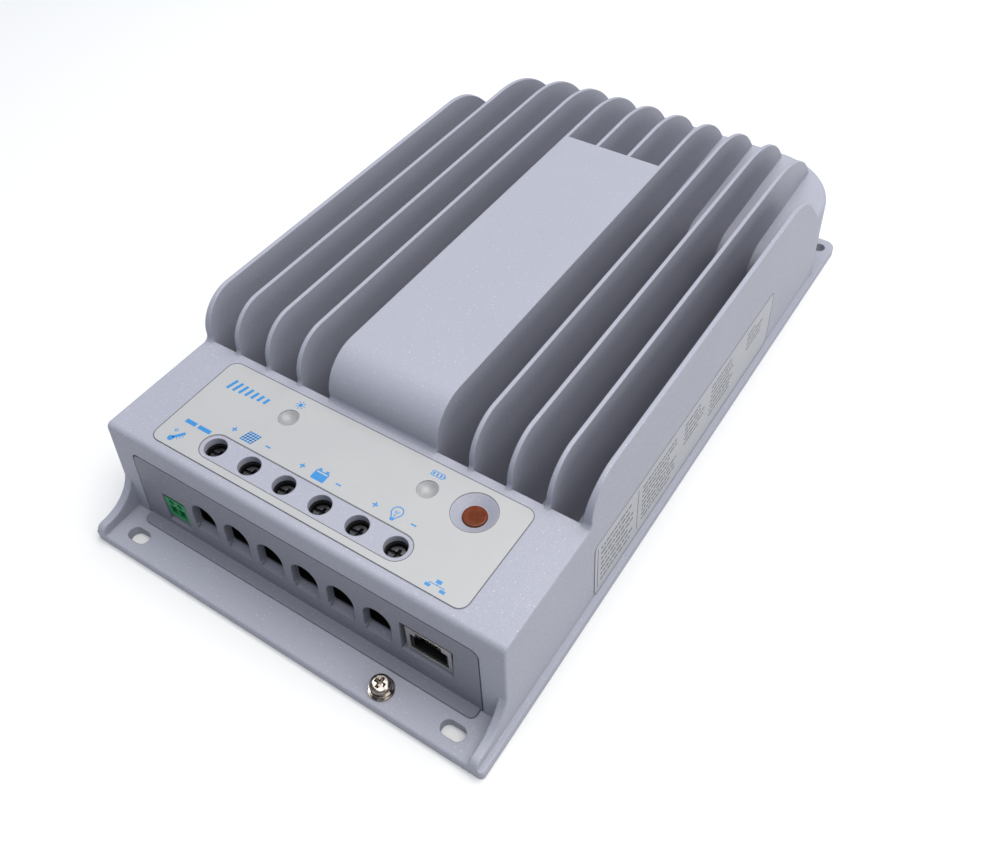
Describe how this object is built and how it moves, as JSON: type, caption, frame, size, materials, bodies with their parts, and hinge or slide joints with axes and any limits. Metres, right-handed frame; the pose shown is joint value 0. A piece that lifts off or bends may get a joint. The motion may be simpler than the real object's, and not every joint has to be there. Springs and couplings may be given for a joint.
{
  "type": "solar charge controller",
  "caption": "Wall-mounted solar charge controller: finned die-cast housing with flush centre strip, cable terminals, network and sensor sockets, push button and indicator windows.",
  "frame": {"origin": "centre of the flat mounting plane, at the bottom of the bounding box", "axes": "+Z away from the wall or surface, -Y the side where the cables enter, +X to the right seen from that side; +Y is the longest direction"},
  "size_m": [0.1598, 0.2806, 0.06],
  "materials": {
    "housing_paint": "lavender-grey powder coat with fine metallic sparkle",
    "cover_paint": "lavender-grey powder coat",
    "label_film": "light silver-grey printed film",
    "rating_film": "grey printed film",
    "nickel": "bright nickel plate",
    "zinc_steel": "zinc-plated steel",
    "plate_steel": "galvanised sheet",
    "dark_plastic": "black moulded plastic",
    "green_plastic": "green moulded plastic",
    "amber_plastic": "translucent amber-brown plastic",
    "lens_plastic": "frosted white lens",
    "brass": "plated brass",
    "gold": "gold-plated contact",
    "copper_wire": "enamelled copper",
    "board_green": "solder-masked laminate",
    "ferrite": "coated powder core",
    "can_aluminium": "sleeved aluminium can",
    "pad_grey": "silicone pad",
    "sheet_film": "milky insulating film",
    "black_steel": "blackened steel",
    "blue_ink": "screen-printed blue",
    "dark_ink": "screen-printed dark grey"
  },
  "bodies": {
    "housing": {"heatsink_housing": "housing_paint", "bottom_plate": "plate_steel", "bottom_screws": "zinc_steel", "terminal_cover": "cover_paint", "cover_screws": "zinc_steel", "label_overlay": "label_film", "rating_label": "rating_film", "terminal_block": "dark_plastic", "terminal_busbars": "brass", "com_socket_shell": "plate_steel", "com_socket_insert": "dark_plastic", "com_socket_foot": "dark_plastic", "com_socket_contacts": "gold", "sensor_socket": "green_plastic", "sensor_pins": "brass", "led_window_pv": "lens_plastic", "led_window_batt": "lens_plastic", "indicator_leds": "lens_plastic", "switch_body": "dark_plastic", "circuit_board": "board_green", "board_screws": "zinc_steel", "insulating_sheet": "sheet_film", "panel_board": "board_green", "panel_board_screws": "zinc_steel", "panel_link_header": "dark_plastic", "inductor_cores": "ferrite", "inductor_windings": "copper_wire", "input_capacitors": "can_aluminium", "output_capacitors": "can_aluminium", "mosfets": "dark_plastic", "thermal_pads": "pad_grey", "mosfet_screws": "zinc_steel", "current_shunts": "copper_wire", "control_chip": "dark_plastic"},
    "button": {"button_cap": "amber_plastic", "switch_plunger": "dark_plastic"},
    "earth_washers": {"earth_spring_washer": "nickel", "earth_flat_washer": "nickel"},
    "earth_screw": {"earth_screw": "nickel"},
    "terminal_screw_1": {"terminal_screw_1": "black_steel"},
    "terminal_clamp_1": {"terminal_clamp_1": "brass"},
    "terminal_screw_2": {"terminal_screw_2": "black_steel"},
    "terminal_clamp_2": {"terminal_clamp_2": "brass"},
    "terminal_screw_3": {"terminal_screw_3": "black_steel"},
    "terminal_clamp_3": {"terminal_clamp_3": "brass"},
    "terminal_screw_4": {"terminal_screw_4": "black_steel"},
    "terminal_clamp_4": {"terminal_clamp_4": "brass"},
    "terminal_screw_5": {"terminal_screw_5": "black_steel"},
    "terminal_clamp_5": {"terminal_clamp_5": "brass"},
    "terminal_screw_6": {"terminal_screw_6": "black_steel"},
    "terminal_clamp_6": {"terminal_clamp_6": "brass"}
  },
  "joints": [
    {"name": "button_press", "type": "slide", "parent": "housing", "child": "button", "axis": [0, 0, -1], "range_m": [0, 0.0006], "stiffness_N_per_m": 400, "springref_m": -0.001},
    {"name": "terminal_screw_turn_1", "type": "hinge", "parent": "housing", "child": "terminal_screw_1", "pos_m": [-0.0389, -0.1104, 0.0382], "axis": [0, 0, -1], "range_deg": [0, 3240]},
    {"name": "terminal_clamp_rise_1", "type": "slide", "parent": "housing", "child": "terminal_clamp_1", "axis": [0, 0, 1], "range_m": [0, 0.0072]},
    {"name": "terminal_screw_turn_2", "type": "hinge", "parent": "housing", "child": "terminal_screw_2", "pos_m": [-0.02476, -0.1104, 0.0382], "axis": [0, 0, -1], "range_deg": [0, 3240]},
    {"name": "terminal_clamp_rise_2", "type": "slide", "parent": "housing", "child": "terminal_clamp_2", "axis": [0, 0, 1], "range_m": [0, 0.0072]},
    {"name": "terminal_screw_turn_3", "type": "hinge", "parent": "housing", "child": "terminal_screw_3", "pos_m": [-0.01062, -0.1104, 0.0382], "axis": [0, 0, -1], "range_deg": [0, 3240]},
    {"name": "terminal_clamp_rise_3", "type": "slide", "parent": "housing", "child": "terminal_clamp_3", "axis": [0, 0, 1], "range_m": [0, 0.0072]},
    {"name": "terminal_screw_turn_4", "type": "hinge", "parent": "housing", "child": "terminal_screw_4", "pos_m": [0.00352, -0.1104, 0.0382], "axis": [0, 0, -1], "range_deg": [0, 3240]},
    {"name": "terminal_clamp_rise_4", "type": "slide", "parent": "housing", "child": "terminal_clamp_4", "axis": [0, 0, 1], "range_m": [0, 0.0072]},
    {"name": "terminal_screw_turn_5", "type": "hinge", "parent": "housing", "child": "terminal_screw_5", "pos_m": [0.01766, -0.1104, 0.0382], "axis": [0, 0, -1], "range_deg": [0, 3240]},
    {"name": "terminal_clamp_rise_5", "type": "slide", "parent": "housing", "child": "terminal_clamp_5", "axis": [0, 0, 1], "range_m": [0, 0.0072]},
    {"name": "terminal_screw_turn_6", "type": "hinge", "parent": "housing", "child": "terminal_screw_6", "pos_m": [0.0318, -0.1104, 0.0382], "axis": [0, 0, -1], "range_deg": [0, 3240]},
    {"name": "terminal_clamp_rise_6", "type": "slide", "parent": "housing", "child": "terminal_clamp_6", "axis": [0, 0, 1], "range_m": [0, 0.0072]},
    {"name": "earth_lift", "type": "slide", "parent": "housing", "child": "earth_washers", "axis": [0, 0, 1], "range_m": [0, 0.0028]},
    {"name": "earth_screw_turn", "type": "hinge", "parent": "earth_washers", "child": "earth_screw", "pos_m": [0.0395, -0.1345, 0.006], "axis": [0, 0, 1], "range_deg": [0, 1440]}
  ],
  "couplings": [
    {"joint": "terminal_screw_turn_1", "follows": "terminal_clamp_rise_1", "rad_per_m": 7854},
    {"joint": "terminal_screw_turn_2", "follows": "terminal_clamp_rise_2", "rad_per_m": 7854},
    {"joint": "terminal_screw_turn_3", "follows": "terminal_clamp_rise_3", "rad_per_m": 7854},
    {"joint": "terminal_screw_turn_4", "follows": "terminal_clamp_rise_4", "rad_per_m": 7854},
    {"joint": "terminal_screw_turn_5", "follows": "terminal_clamp_rise_5", "rad_per_m": 7854},
    {"joint": "terminal_screw_turn_6", "follows": "terminal_clamp_rise_6", "rad_per_m": 7854},
    {"joint": "earth_screw_turn", "follows": "earth_lift", "rad_per_m": 8976}
  ]
}
